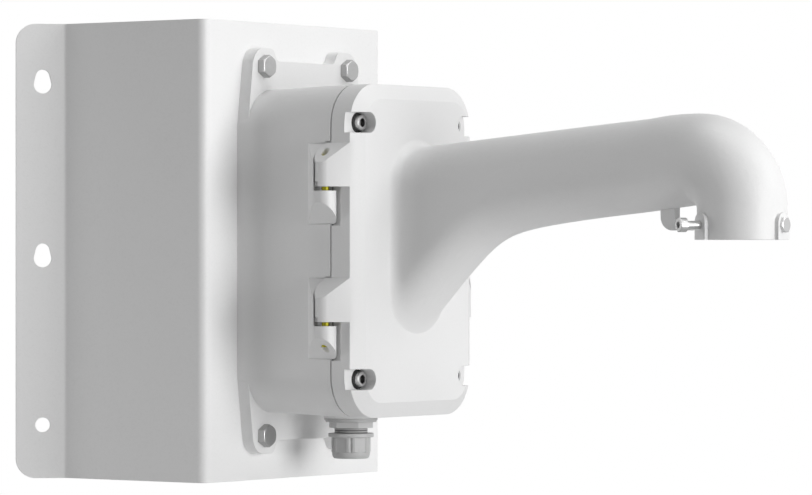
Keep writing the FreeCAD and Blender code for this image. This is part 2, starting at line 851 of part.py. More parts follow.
def elbow_section(turn, radius):
    """A round section across the bend, where turn goes from the arm to straight down."""
    reach = sheet.elbow_radius.value
    out, up = Vector(0, -math.sin(turn), math.cos(turn)), Vector(1, 0, 0)
    centre = Vector(0, float(ahead(sheet.elbow_depth)), elbow_centre_up()) + out * reach
    points = []
    for number in range(SECTION_POINTS):
        angle = 2 * math.pi * number / SECTION_POINTS
        points.append(centre + out * (radius * math.cos(angle)) + up * (radius * math.sin(angle)))
    return closed_curve(points)


def arm_sections(inset, start):
    """Sections from the lid through the elbow, each drawn in by the inset.

    The outer skin opens into the lid along a quarter round that starts a little below its face.
    """
    sections = []
    tube = sheet.arm_radius.value - inset
    front = lid_front.value
    root = sheet.root_round.value
    if inset == 0:
        for turn in (0, 25, 50, 72):
            angle = math.radians(turn)
            depth = front - sheet.root_sink.value + root * (1 - math.cos(angle))
            flare = root * (1 - math.sin(angle))
            sections.append(upright_section(depth, tube + flare, arm_top(depth) + flare,
                                            arm_bottom(depth) - flare / 4))
    else:
        sections.append(upright_section(start, tube, arm_top(front) - inset,
                                        arm_bottom(front) + inset))
    elbow_start = sheet.elbow_depth.value
    reach = elbow_start - front
    for share in (0.05, 0.115, 0.18, 0.245, 0.32, 0.42, 0.56, 0.72, 0.85):
        depth = front + reach * share
        sections.append(upright_section(depth, tube, arm_top(depth) - inset,
                                        arm_bottom(depth) + inset))
    first_turn = -math.atan(sheet.arm_rise.value)
    steps = 6
    for number in range(steps + 1):
        share = number / steps
        turn = first_turn + (math.pi / 2 - first_turn) * share
        shrink = (sheet.arm_radius.value - sheet.collar_radius.value) * share
        sections.append(elbow_section(turn, tube - shrink))
    return sections


def solid_feature(name, shape):
    feature = doc.addObject("Part::Feature", name)
    feature.Shape = shape
    return feature


def make_arm():
    """Arm and elbow as one smooth skin, with the straight collar below."""
    return solid_feature("arm_skin", Part.makeLoft(arm_sections(0, 0), True, False))


def make_duct():
    start = lid_front.value - sheet.lid_front_wall.value - 2
    return solid_feature("arm_duct", Part.makeLoft(arm_sections(sheet.arm_wall.value, start), True, False))


collar_depth = sheet.elbow_depth + sheet.elbow_radius


def collar_cylinder(name, radius, foot, length):
    item = doc.addObject("Part::Cylinder", name)
    bind(item, "Radius", radius)
    bind(item, "Height", length)
    return put(item, 0, ahead(collar_depth), foot)


def radial(turn):
    """Rotation that lays +Z outwards from the collar, turned from the arm's direction."""
    return Rotation(Vector(0, 0, 1), turn - 90).multiply(Rotation(Vector(0, 1, 0), 90))


def make_pad(name, turn):
    """A raised pad on the collar: a straight foot and a round head, pushed outwards."""
    face = sheet.collar_radius + sheet.pad_proud
    foot = doc.addObject("Part::Box", name + "_foot")
    bind(foot, "Length", sheet.pad_half_width * 2)
    bind(foot, "Width", face)
    bind(foot, "Height", sheet.pad_height - sheet.pad_half_width)
    angle = math.radians(turn)
    side = sheet.pad_half_width
    put(foot, side * round(math.cos(angle), 12), ahead(collar_depth) + side * round(math.sin(angle), 12),
        sheet.collar_rim, Rotation(Vector(0, 0, 1), turn + 180))
    head = doc.addObject("Part::Cylinder", name + "_head")
    bind(head, "Radius", sheet.pad_half_width)
    bind(head, "Height", face)
    put(head, 0, ahead(collar_depth), sheet.collar_rim + sheet.pad_height - sheet.pad_half_width,
        radial(turn))
    return [foot, head]


def make_radial_hole(name, turn):
    hole = doc.addObject("Part::Cylinder", name)
    bind(hole, "Radius", sheet.lock_screw_radius + sheet.thread_gap)
    bind(hole, "Height", sheet.collar_radius + sheet.pad_proud + 1)
    return put(hole, 0, ahead(collar_depth), sheet.collar_rim + sheet.collar_screw_up, radial(turn))


def make_hook():
    """Hook for the camera's safety rope, open towards the collar."""
    body = new_body("rope_hook")
    leg, low, bar = sheet.hook_depth, sheet.hook_low, sheet.hook_bar
    inside = leg + sheet.hook_leg
    high = low + bar + sheet.hook_leg + sheet.arm_wall
    sketch = new_sketch(body, "YZ_Plane", -sheet.hook_thick / 2)
    polygon(sketch, [(ahead(leg), high), (ahead(leg), low), (ahead(leg + sheet.hook_tip), low),
                     (ahead(leg + sheet.hook_tip), low + bar), (ahead(inside), low + bar),
                     (ahead(inside), high)])
    pad(body, sketch, sheet.hook_thick)

    def corner(depth, up):
        return lambda at, along: (abs(along.x) > 0.99 and near(at.y, ahead(depth))
                                  and near(at.z, up))

    fillet(body, sheet.hook_round, corner(leg, low))
    fillet(body, sheet.hook_inner_round, corner(inside, low + bar))
    fillet(body, sheet.hook_bar / 2 - 0.4, lambda at, along: abs(along.x) > 0.99
           and near(at.y, ahead(leg + sheet.hook_tip)))
    return body


def fuse(name, items):
    joined = doc.addObject("Part::MultiFuse", name)
    joined.Shapes = items
    return joined


def cut(name, base, tool):
    item = doc.addObject("Part::Cut", name)
    item.Base = base
    item.Tool = tool
    return item


def make_arm_lid():
    collar_height = elbow_centre_up() - sheet.collar_rim
    collar = collar_cylinder("collar", sheet.collar_radius, sheet.collar_rim, collar_height)
    bore = collar_cylinder("camera_bore", sheet.collar_bore, sheet.collar_rim - 1, collar_height + 1.5)
    skins = [make_lid(), make_arm(), collar, make_hook()]
    holes = [bore]
    for number, turn in enumerate(SCREW_TURNS, start=1):
        skins += make_pad("collar_pad_%d" % number, turn)
        holes.append(make_radial_hole("lock_hole_%d" % number, turn))
    hollow = cut("arm_lid_hollow", fuse("arm_lid_solid", skins), make_duct())
    casting = cut("arm_lid", hollow, fuse("collar_holes", holes))
    casting.Label = "arm_lid"
    return casting


# Rubber parts

def make_gasket():
    """A flat ring in the seam, drawn in from the outline of the rims."""
    body = new_body("lid_gasket")
    sketch = box_outline(body, box_rim, sheet.rim_half, sheet.rim_up, sheet.gasket_inset)
    inset = sheet.gasket_inset + sheet.gasket_width
    rounded(sketch, sheet.rim_half - inset, sheet.rim_up - inset, sheet.box_corner - inset)
    pad(body, sketch, sheet.gasket_thick)
    return body


def make_rear_seal():
    body = new_body("rear_seal")
    sketch = new_sketch(body, "XZ_Plane", standoff)
    circle(sketch, 0, 0, sheet.seal_radius + 0.1)
    circle(sketch, 0, 0, sheet.seal_radius + sheet.seal_width - 0.1)
    pad(body, sketch, sheet.seal_depth)
    return body


# Fasteners, each turned about its own axis with the seat of the head at the origin

def turned(name, profile):
    """A body turned about Z from a closed profile of (radius, height) corners."""
    body = new_body(name)
    sketch = new_sketch(body, "XZ_Plane")
    polygon(sketch, profile)
    revolve(body, sketch)
    return body


def socket_screw(name, radius, length, head_radius, head, socket):
    """A cylinder-head screw along -Z, with a hexagon socket and a chamfered tip."""
    tip = radius * 0.2
    body = turned(name, [(0, head), (head_radius - tip, head), (head_radius, head - tip),
                         (head_radius, 0), (radius, 0), (radius, -(length - tip)),
                         (radius - tip, -length), (0, -length)])
    depth = head * 0.55
    sketch = new_sketch(body, "XY_Plane", head - depth)
    hexagon(sketch, socket)
    pocket(body, sketch, depth + 1)
    return body


def hex_screw(name, radius, length, flats, head):
    """A hex-head bolt along -Z: the hexagon is faced with a 30 degree chamfer."""
    body = new_body(name)
    sketch = new_sketch(body, "XY_Plane")
    hexagon(sketch, flats)
    pad(body, sketch, head)
    sketch = new_sketch(body, "XY_Plane", -length)
    circle(sketch, 0, 0, radius)
    pad(body, sketch, length)
    # The facing cut: all that lies outside a shallow cone from the flats
    face = flats * 0.475
    wide = flats * 0.7
    sketch = new_sketch(body, "XZ_Plane")
    polygon(sketch, [(face, head), (wide, head - (wide - face) * 0.577), (wide, head + 1),
                     (face, head + 1)])
    groove = body.newObject("PartDesign::Groove", name + "_facing")
    groove.Profile = sketch
    groove.ReferenceAxis = (sketch, ["V_Axis"])
    groove.Angle = 360
    doc.recompute()
    return body


TO_FRONT = Rotation(Vector(1, 0, 0), 90)


def four_places(across, up, depth):
    """Four mirrored places at a depth, each turned to face the front."""
    return [(across * x, ahead(depth), up * z, TO_FRONT) for x, z in mirrored_signs()]


def ring(name, inner, outer, thick):
    return turned(name, [(inner, 0), (outer, 0), (outer, thick), (inner, thick)])


def make_bolts():
    bolt = hex_screw("box_bolt", sheet.bolt_radius, sheet.bolt_length, sheet.bolt_flats,
                     sheet.bolt_head)
    hole = sheet.bolt_radius + sheet.thread_gap
    flat = ring("flat_washer", hole, sheet.washer_radius, sheet.washer_thick)
    spring = ring("spring_washer", hole, sheet.spring_washer_radius, sheet.spring_washer_thick)
    nut = new_body("bolt_nut")
    sketch = new_sketch(nut, "XY_Plane")
    hexagon(sketch, sheet.bolt_flats)
    circle(sketch, 0, 0, hole)
    pad(nut, sketch, sheet.nut_thick)
    across, up = sheet.bolt_across, sheet.bolt_up
    behind = -sheet.sheet - sheet.washer_thick
    return [group("box_bolts", bolt, four_places(across, up, sheet.flange_thick)),
            group("bolt_flat_washers", flat, four_places(across, up, behind)),
            group("bolt_spring_washers", spring,
                  four_places(across, up, behind - sheet.spring_washer_thick)),
            group("bolt_nuts", nut,
                  four_places(across, up, behind - sheet.spring_washer_thick - sheet.nut_thick))]


def make_lid_screws():
    screw = socket_screw("lid_screw", sheet.screw_radius, sheet.screw_length,
                         sheet.screw_head_radius, sheet.screw_head, sheet.screw_socket)
    holder = ring("screw_ring", sheet.screw_radius + sheet.thread_gap, sheet.ring_radius,
                  sheet.ring_thick)
    across, up = sheet.screw_across, sheet.screw_up
    return [group("lid_screws", screw, four_places(across, up, screw_seat)),
            group("lid_screw_rings", holder, four_places(across, up, lid_rim - sheet.ring_thick))]


def make_collar_screws():
    lock = socket_screw("lock_screw", sheet.lock_screw_radius, sheet.lock_screw_length,
                        sheet.lock_head_radius, sheet.lock_head, sheet.lock_socket)
    stop = hex_screw("collar_hex_screw", sheet.lock_screw_radius, sheet.stop_screw_length - 0.4,
                     sheet.stop_flats, sheet.stop_head)
    height = sheet.collar_rim + sheet.collar_screw_up

    def out(distance, turn):
        angle = math.radians(turn)
        return (distance * round(math.sin(angle), 12),
                ahead(collar_depth) - distance * round(math.cos(angle), 12), height, radial(turn))

    pair = group("collar_lock_screws", lock,
                 [out(sheet.lock_screw_out, turn) for turn in SCREW_TURNS[1:]])
    face = sheet.collar_radius + sheet.pad_proud
    put(stop, *out(face, SCREW_TURNS[0]))
    return [pair, stop]


def make_pins():
    """Two hinge pins; each stops short of the slope through which it is pushed in."""
    pins = []
    for name, centre in (("hinge_pin_upper", sheet.hinge_up), ("hinge_pin_lower", -sheet.hinge_up)):
        foot, _, _, top = hinge_zones(centre)
        if name.endswith("upper"):
            low, high = foot + sheet.pin_foot_wall, top - sheet.pin_inset
        else:
            low, high = foot + sheet.pin_inset, top - sheet.pin_head_wall - sheet.pin_end_gap
        pin = doc.addObject("Part::Cylinder", name)
        pin.Label = name
        bind(pin, "Radius", sheet.pin_radius)
        bind(pin, "Height", high - low)
        put(pin, -sheet.hinge_reach, ahead(sheet.seam_depth), low)
        pins.append(pin)
    return pins


# Cable gland, built about its own axis with the boss face at the origin, pointing down

def make_gland():
    stem = sheet.gland_boss_length
    washer = sheet.gland_washer_thick
    hex_foot = washer + sheet.gland_hex_thick
    nut_top = hex_foot + sheet.gland_neck_shown
    mouth = sheet.gland_bore_radius

    body = turned("gland_body", [
        (mouth, stem + sheet.locknut_thick + 2),
        (sheet.gland_stem_radius, stem + sheet.locknut_thick + 2),
        (sheet.gland_stem_radius, -washer), (sheet.gland_hex_flats / 2 - 1, -washer),
        (sheet.gland_hex_flats / 2 - 1, -hex_foot), (sheet.gland_neck_radius, -hex_foot),
        (sheet.gland_neck_radius, -(hex_foot + sheet.gland_neck_length)),
        (mouth, -(hex_foot + sheet.gland_neck_length))])
    sketch = new_sketch(body, "XY_Plane", -hex_foot)
    hexagon(sketch, sheet.gland_hex_flats)
    circle(sketch, 0, 0, sheet.gland_stem_radius)
    pad(body, sketch, sheet.gland_hex_thick)

    seal_ring = ring("gland_washer", sheet.gland_stem_radius + sheet.thread_gap,
                     sheet.gland_washer_radius, washer)
    locknut = new_body("gland_locknut")
    sketch = new_sketch(locknut, "XY_Plane")
    hexagon(sketch, sheet.locknut_flats)
    circle(sketch, 0, 0, sheet.gland_stem_radius + sheet.thread_gap)
    pad(locknut, sketch, sheet.locknut_thick)

    # Dome nut: collar, ribbed grip and tapering dome round the neck and the rubber seal
    grip_foot = nut_top + sheet.gland_nut_collar + sheet.gland_nut_body
    dome_foot = grip_foot + sheet.gland_dome
    neck = sheet.gland_neck_radius + sheet.thread_gap
    neck_foot = hex_foot + sheet.gland_neck_length
    dome = turned("gland_dome_nut", [
        (neck, -nut_top), (sheet.gland_nut_collar_radius, -nut_top),
        (sheet.gland_nut_collar_radius, -(nut_top + sheet.gland_nut_collar)),
        (sheet.gland_nut_radius, -(nut_top + sheet.gland_nut_collar)),
        (sheet.gland_nut_radius, -grip_foot), (sheet.gland_dome_radius, -grip_foot),
        (sheet.gland_dome_end_radius, -dome_foot), (sheet.gland_mouth_radius, -dome_foot),
        (sheet.gland_mouth_radius, -(dome_foot - 1.5)), (neck, -(neck_foot + 2))])
    sketch = new_sketch(dome, "XY_Plane", -grip_foot - 1)
    circle(sketch, sheet.gland_nut_radius + sheet.gland_rib_radius * 0.35, 0, sheet.gland_rib_radius)
    flute = pocket(dome, sketch, sheet.gland_nut_body + 1)
    pattern = dome.newObject("PartDesign::PolarPattern", "gland_flutes")
    pattern.Originals = [flute]
    pattern.Axis = (next(item for item in dome.Origin.OriginFeatures if item.Role == "Z_Axis"), [""])
    pattern.Angle = 360
    bind(pattern, "Occurrences", sheet.gland_nut_ribs)
    dome.Tip = pattern

    seal_top = neck_foot
    seal = turned("gland_seal", [
        (sheet.gland_mouth_radius - 0.6, -seal_top), (neck - 0.4, -seal_top),
        (neck - 0.4, -(seal_top + 1.9)), (sheet.gland_mouth_radius, -(dome_foot - 1.6)),
        (sheet.gland_mouth_radius - 0.6, -(dome_foot - 1.6))])

    y = ahead(sheet.gland_depth)
    put(body, 0, y, gland_face)
    put(seal_ring, 0, y, gland_face - washer)
    put(locknut, 0, y, gland_face + stem)
    put(dome, 0, y, gland_face)
    put(seal, 0, y, gland_face)
    return [body, seal_ring, locknut, dome, seal]


def check_and_write(nodes):
    """Stop at any failed object, then write one file for each node."""
    doc.recompute()
    for item in doc.Objects:
        if "Invalid" in item.State or "Error" in item.State:
            raise RuntimeError("%s failed: %s" % (item.Name, item.State))
    os.makedirs("parts", exist_ok=True)
    for node in nodes:
        shape = node.Shape
        if shape.isNull() or not shape.isValid() or not shape.Solids:
            raise RuntimeError("%s has no valid solid" % node.Label)
        box = shape.BoundBox
        print("%-20s solids %d  volume %9.1f  x %7.1f %7.1f  y %7.1f %7.1f  z %7.1f %7.1f" % (
            node.Label, len(shape.Solids), shape.Volume, box.XMin, box.XMax, box.YMin, box.YMax,
            box.ZMin, box.ZMax))
        shape.exportStep("parts/%s.step" % node.Label)


def main():
    nodes = [make_corner_plate(), make_junction_box(), make_arm_lid(), make_gasket(),
             make_rear_seal()]
    nodes += make_bolts() + make_lid_screws() + make_collar_screws() + make_pins() + make_gland()
    check_and_write(nodes)


main()
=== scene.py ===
# %% [markdown]
# # A corner mount bracket for a pendant camera
# A folded steel plate wraps round the outside corner of a building. A cast junction box is
# bolted to it, and the box's hinged lid carries the arm in one casting. The solid model holds
# every piece at its real size. This file gives the pieces their finish, rounds what a casting
# rounds, adds the ribs of the gland, and sets up the camera and the light.
# It is written to be read from top to bottom, one short cell at a time.

# %% Load the frame
import json
import math

import bmesh
import bpy
import numpy as np
from mathutils import Matrix, Vector


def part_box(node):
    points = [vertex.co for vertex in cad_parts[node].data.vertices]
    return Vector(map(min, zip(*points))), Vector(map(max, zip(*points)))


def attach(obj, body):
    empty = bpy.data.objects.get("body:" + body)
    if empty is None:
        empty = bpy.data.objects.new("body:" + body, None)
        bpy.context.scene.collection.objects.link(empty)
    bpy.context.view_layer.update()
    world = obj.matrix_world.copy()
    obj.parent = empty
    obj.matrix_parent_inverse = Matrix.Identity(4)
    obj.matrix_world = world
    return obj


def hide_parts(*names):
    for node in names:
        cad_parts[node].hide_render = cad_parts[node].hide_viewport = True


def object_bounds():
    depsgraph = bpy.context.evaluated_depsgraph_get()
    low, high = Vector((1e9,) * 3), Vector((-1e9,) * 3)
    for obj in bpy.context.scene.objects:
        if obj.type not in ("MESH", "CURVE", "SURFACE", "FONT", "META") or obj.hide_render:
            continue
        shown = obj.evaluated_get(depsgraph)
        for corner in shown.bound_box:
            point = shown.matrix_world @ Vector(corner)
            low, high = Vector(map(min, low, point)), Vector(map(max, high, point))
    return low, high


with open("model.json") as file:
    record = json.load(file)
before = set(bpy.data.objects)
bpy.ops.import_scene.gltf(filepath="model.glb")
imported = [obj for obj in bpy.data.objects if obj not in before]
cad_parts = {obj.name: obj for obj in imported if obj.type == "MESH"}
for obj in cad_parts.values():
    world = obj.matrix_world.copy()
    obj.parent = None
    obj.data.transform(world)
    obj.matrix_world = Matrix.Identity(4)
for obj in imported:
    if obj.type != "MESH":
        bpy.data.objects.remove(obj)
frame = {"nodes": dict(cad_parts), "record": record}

cad_low, cad_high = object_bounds()
print("solid model:", [round(1000 * (high - low)) for low, high in zip(cad_low, cad_high)], "mm")

# %% [markdown]
# ## Measures that the looks depend on
# One millimetre gets a name, because Blender counts in metres. Places are read from the solids,
# so that nothing here has to be fitted by hand when a size of the bracket changes.

# %% Measures
MM = 0.001
body_of = {node: body for body, nodes in frame["record"]["behaviour"]["bodies"].items() for node in nodes}


def middle(node):
    """Centre of a node's box."""
    low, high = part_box(node)
    return (low + high) / 2


plate_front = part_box("corner_plate")[0].y
gland_axis = middle("gland_body")
print("front of the plate at y =", round(plate_front / MM, 2), "mm")

# %% [markdown]
# ## Camera
# The photograph is a level view from the front left, taken from about three metres with a long
# lens, so upright edges stay parallel. Placing the camera by a bearing and a distance keeps it
# easy to change. The small shift lifts the horizon to where the photograph has it.

# %% Camera
CAMERA_PLACE = (-2.3164, -1.7780, 0.0)
CAMERA_BEARING = math.radians(-54.32)
CAMERA_LENS = 194.1
HORIZON_SHIFT = 0.0043

camera_data = bpy.data.cameras.new("camera")
camera_data.lens = CAMERA_LENS
camera_data.sensor_width = 36
camera_data.shift_y = HORIZON_SHIFT
camera_data.clip_start = 0.05
camera_data.clip_end = 50
camera = bpy.data.objects.new("camera", camera_data)
camera.location = CAMERA_PLACE
camera.rotation_euler = (math.pi / 2, 0, CAMERA_BEARING)
bpy.context.scene.collection.objects.link(camera)
bpy.context.scene.camera = camera
bpy.context.scene.view_settings.view_transform = "Standard"
print("camera at", CAMERA_PLACE)

# %% [markdown]
# ## Node trees written as expressions
# A material is a small program. Two short classes let it be written like one: `Value` wraps a
# socket, and its operators add Math nodes; `Finish` owns the tree and adds any other node from
# a name, its settings and its sockets.

# %% Sockets that can be added and multiplied
class Value:
    """An output socket that takes part in arithmetic."""

    def __init__(self, finish, socket):
        self.finish = finish
        self.socket = socket

    def math(self, operation, *numbers):
        return self.finish.node("Math", dict(enumerate(numbers)), operation=operation)

    def __add__(self, other):
        return self.math("ADD", self, other)

    def __radd__(self, other):
        return self.math("ADD", other, self)

    def __sub__(self, other):
        return self.math("SUBTRACT", self, other)

    def __rsub__(self, other):
        return self.math("SUBTRACT", other, self)

    def __mul__(self, other):
        return self.math("MULTIPLY", self, other)

    def __rmul__(self, other):
        return self.math("MULTIPLY", other, self)

    def __truediv__(self, other):
        return self.math("DIVIDE", self, other)

    def __pow__(self, power):
        return self.math("POWER", self, power)

    def __abs__(self):
        return self.math("ABSOLUTE", self)


# %% A material and its tree
def pick(sockets, key):
    """A socket by its number, or the enabled one by its name."""
    if isinstance(key, int):
        return sockets[key]
    return next(socket for socket in sockets if socket.name == key and socket.enabled)


class Finish:
    """A material whose nodes are added by expressions."""

    def __init__(self, name):
        self.material = bpy.data.materials.new(name)
        self.material.use_nodes = True
        self.tree = self.material.node_tree
        self.tree.nodes.clear()

    def node(self, kind, inputs=None, output=0, stops=(), **settings):
        """Add a node: first its settings, then the values or links of its sockets."""
        made = self.tree.nodes.new("ShaderNode" + kind)
        for name, value in settings.items():
            setattr(made, name, value)
        for number, (position, colour) in enumerate(stops):
            ramp = made.color_ramp.elements
            element = ramp[number] if number < len(ramp) else ramp.new(position)
            element.position = position
            element.color = colour
        for key, value in (inputs or {}).items():
            socket = pick(made.inputs, key)
            if isinstance(value, Value):
                self.tree.links.new(value.socket, socket)
            else:
                socket.default_value = value
        return Value(self, pick(made.outputs, output))

    def place(self):
        """Object coordinates, in metres in the bracket's own frame."""
        return self.node("TexCoord", output="Object")

    def axes(self, place):
        """The three coordinates of a place, as separate values."""
        return [self.node("SeparateXYZ", {0: place}, output=name) for name in "XYZ"]

    def noise(self, place, grain, detail=2.0):
        """Smooth noise from 0 to 1 whose features are about one grain across, in metres."""
        return self.node("TexNoise", {"Vector": place, "Scale": 1 / grain, "Detail": detail})

    def blend(self, factor, first, second):
        """A colour between two others."""
        return self.node("Mix", {"Factor": factor, "A": first, "B": second}, output="Result",
                         data_type="RGBA")

    def bump(self, height, depth, rounding=None):
        """A normal from a height of 0 to 1 that stands for a depth in metres."""
        inputs = {"Height": height, "Distance": depth, "Strength": 1.0}
        if rounding is not None:
            inputs["Normal"] = rounding
        return self.node("Bump", inputs)

    def rounded_edges(self, radius):
        """Normals as if every edge had a small round, for light only."""
        return self.node("Bevel", {"Radius": radius}, samples=6)

    def surface(self, **sockets):
        """Finish the tree with a Principled shader; underscores stand for spaces."""
        inputs = {name.replace("_", " "): value for name, value in sockets.items()}
        shader = self.node("BsdfPrincipled", inputs)
        out = self.tree.nodes.new("ShaderNodeOutputMaterial")
        self.tree.links.new(shader.socket, out.inputs["Surface"])
        return self.material


def grey(level):
    return (level, level, level, 1.0)


# %% [markdown]
# ## Powder coat
# The plate and the castings are sprayed with dry powder and baked. Close up, the skin is matt
# with a fine grain, a little like an eggshell. A true displacement would need millions of
# faces, so a fine noise tilts the normals, and a wider, weaker one varies the tone.

# %% Powder coat
def powder_coat(name, tone, uneven, grain, depth, rough, edge):
    coat = Finish(name)
    place = coat.place()
    skin = coat.noise(place, grain, 3.0)
    speckle = coat.noise(place, grain * 1.7, 1.0)
    cloud = coat.noise(place, 45 * MM, 2.0)
    shade = 0.99 - 0.5 * uneven + uneven * speckle + 0.02 * cloud
    colour = coat.blend(shade, grey(0.0), grey(tone))
    normal = coat.bump(skin, depth, coat.rounded_edges(edge))
    return coat.surface(Base_Color=colour, Roughness=rough + 0.1 * speckle, Normal=normal)


plate_coat = powder_coat("plate powder coat", 0.90, 0.10, 0.9 * MM, 0.05 * MM, 0.5, 0.5 * MM)
casting_coat = powder_coat("casting powder coat", 0.82, 0.06, 0.7 * MM, 0.035 * MM, 0.42, 0.5 * MM)
print("powder coats:", plate_coat.name, "and", casting_coat.name)

# %% [markdown]
# ## Bare metal
# Screws and bolts are stainless steel. Their faces were turned, which leaves fine rings round
# each screw's own axis. The four bolts and the four lid screws stand in a rectangle about the
# middle of the bracket, so folding X and Z with an absolute value brings all four axes onto
# one, and a single formula draws every ring.

# %% Turned steel
def turned_steel(name, tone, across, up, socket=0.0, ring_pitch=0.35 * MM):
    """Steel turned about four axes; inside the socket's radius the colour is painted dark, as painted
    shade down in the socket.
    """
    steel = Finish(name)
    x, _, z = steel.axes(steel.place())
    from_axis = ((abs(x) - across) ** 2.0 + (abs(z) - up) ** 2.0) ** 0.5
    rings = from_axis.math("SINE", from_axis * (2 * math.pi / ring_pitch))
    smear = steel.noise(steel.place(), 1.5 * MM, 3.0)
    inside = from_axis.math("LESS_THAN", from_axis, socket)
    colour = steel.blend(smear, grey(tone * 0.86), grey(tone))
    # painted shade: within the socket's radius the colour drops to a quarter of the tone, standing in for
    # the shade in the hex socket
    colour = steel.blend(inside, colour, grey(tone * 0.25))
    normal = steel.bump(0.5 + 0.5 * rings, 0.004 * MM, steel.rounded_edges(0.35 * MM))
    return steel.surface(Base_Color=colour, Metallic=1.0, Roughness=0.3 + 0.14 * smear, Normal=normal)


def corner_of(node):
    """How far the four like pieces of a node stand from the middle, across and up."""
    low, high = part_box(node)
    mesh = frame["nodes"][node].data
    points = np.empty(len(mesh.vertices) * 3)
    mesh.vertices.foreach_get("co", points)
    points = np.abs(points.reshape(-1, 3))
    return points[:, 0].min() / 2 + high.x / 2, points[:, 2].min() / 2 + high.z / 2


bolt_steel = turned_steel("bolt steel", 0.45, *corner_of("box_bolts"))
lid_screw_steel = turned_steel("lid screw steel", 0.58, *corner_of("lid_screws"), socket=2.9 * MM)
print("bolts stand", [round(side / MM, 1) for side in corner_of("box_bolts")], "mm from the middle")


# %% Plain steel for the rest
def plain_steel(name, tone, rough):
    steel = Finish(name)
    smear = steel.noise(steel.place(), 0.8 * MM, 4.0)
    colour = steel.blend(smear, grey(tone * 0.84), grey(tone))
    normal = steel.bump(smear, 0.01 * MM, steel.rounded_edges(0.3 * MM))
    return steel.surface(Base_Color=colour, Metallic=1.0, Roughness=rough + 0.12 * smear, Normal=normal)


collar_steel = plain_steel("collar screw steel", 0.62, 0.28)

# %% [markdown]
# The hinge pins are zinc plated and passivated yellow. Passivation is a thin film of uneven
# thickness, so the colour wanders between a straw and an olive yellow.

# %% Passivated pins
def yellow_zinc():
    zinc = Finish("yellow passivated zinc")
    film = zinc.noise(zinc.place(), 2.5 * MM, 3.0)
    colour = zinc.blend(film, (0.16, 0.145, 0.001, 1.0), (0.36, 0.33, 0.004, 1.0))
    return zinc.surface(Base_Color=colour, Metallic=0.55, Roughness=0.32 + 0.15 * film,
                        Normal=zinc.bump(film, 0.01 * MM))


pin_zinc = yellow_zinc()

# %% [markdown]
# ## Rubber and nylon
# Rubber is dark, matt and a little dusty. The gland is moulded in grey nylon with a fine
# spark-eroded grain and soft edges.

# %% Rubber and nylon
def moulded(name, tone, grain, depth, rough, edge):
    stuff = Finish(name)
    place = stuff.place()
    skin = stuff.noise(place, grain, 3.0)
    dust = stuff.noise(place, 6 * MM, 2.0)
    colour = stuff.blend(dust, grey(tone * 0.9), grey(tone * 1.08))
    normal = stuff.bump(skin, depth, stuff.rounded_edges(edge))
    return stuff.surface(Base_Color=colour, Roughness=rough + 0.1 * dust, Normal=normal)


black_rubber = moulded("black rubber", 0.02, 0.5 * MM, 0.02 * MM, 0.62, 0.2 * MM)
grey_rubber = moulded("grey rubber", 0.36, 0.5 * MM, 0.02 * MM, 0.62, 0.2 * MM)
gland_nylon = moulded("gland nylon", 0.53, 0.4 * MM, 0.012 * MM, 0.42, 0.35 * MM)


def threaded_nylon(name, tone, neck_radius, pitch):
    """Nylon whose neck has a thread: within the neck's radius, height ripples along Z, and the valleys
    get painted shade.
    """
    nylon = Finish(name)
    x, y, z = nylon.axes(nylon.place())
    radius = (x ** 2.0 + (y - gland_axis.y) ** 2.0) ** 0.5
    on_neck = radius.math("LESS_THAN", radius, neck_radius)
    wave = 0.5 + 0.5 * z.math("SINE", z * (2 * math.pi / pitch))
    # painted shade: on the neck the colour darkens towards a third of the tone in the thread's valleys,
    # where shade falls between the turns
    colour = nylon.blend(on_neck * (1.0 - wave), grey(tone), grey(tone * 0.3))
    normal = nylon.bump(on_neck * wave, 0.5 * MM, nylon.rounded_edges(0.35 * MM))
    return nylon.surface(Base_Color=colour, Roughness=0.42 + 0.1 * wave, Normal=normal)


gland_thread_nylon = threaded_nylon("threaded nylon", 0.62, 11.2 * MM, 1.75 * MM)
ring_plastic = moulded("retaining ring plastic", 0.05, 0.4 * MM, 0.01 * MM, 0.5, 0.2 * MM)
print("materials so far:", len(bpy.data.materials))

# %% [markdown]
# ## Smooth skins for the solids
# The solids arrive as loose flat triangles. Light shows each facet of the curved arm, so every
# piece is shown by a copy whose points are merged and whose shading runs smoothly over all
# edges that turn by less than an angle. Sharper edges stay sharp.

# %% Smooth copies
FINISHES = {
    "corner_plate": plate_coat, "junction_box": casting_coat, "arm_lid": casting_coat,
    "lid_gasket": black_rubber, "rear_seal": black_rubber,
    "box_bolts": bolt_steel, "bolt_flat_washers": bolt_steel, "bolt_spring_washers": bolt_steel,
    "bolt_nuts": bolt_steel, "lid_screws": lid_screw_steel, "lid_screw_rings": ring_plastic,
    "collar_lock_screws": collar_steel, "collar_hex_screw": collar_steel,
    "hinge_pin_upper": pin_zinc, "hinge_pin_lower": pin_zinc,
    "gland_body": gland_thread_nylon, "gland_washer": gland_nylon, "gland_locknut": gland_nylon,
    "gland_dome_nut": gland_nylon, "gland_seal": grey_rubber,
}
SMOOTH_ANGLE = math.radians(28)
# The gland's body is screwed in as far as it goes, and its hexagon stops at an angle of its own
GLAND_HEX_TURN = math.radians(26)
# These nodes get a shape of their own further down
SHAPED = ("gland_dome_nut", "gland_washer")


def mark_edges(work):
    """Smooth shading, but for edges that turn by more than the angle."""
    work.normal_update()
    for face in work.faces:
        face.smooth = True
    for edge in work.edges:
        edge.smooth = len(edge.link_faces) == 2 and edge.calc_face_angle(0.0) < SMOOTH_ANGLE


# %% [markdown]
# The lid's face falls away to the rim in a wide, shallow bevel. The solid model has its two
# sizes the other way round, narrow on the face and deep down the skirt, so the bevel's points
# are moved to where the photograph has them. Each keeps its share of the way from rim to face.

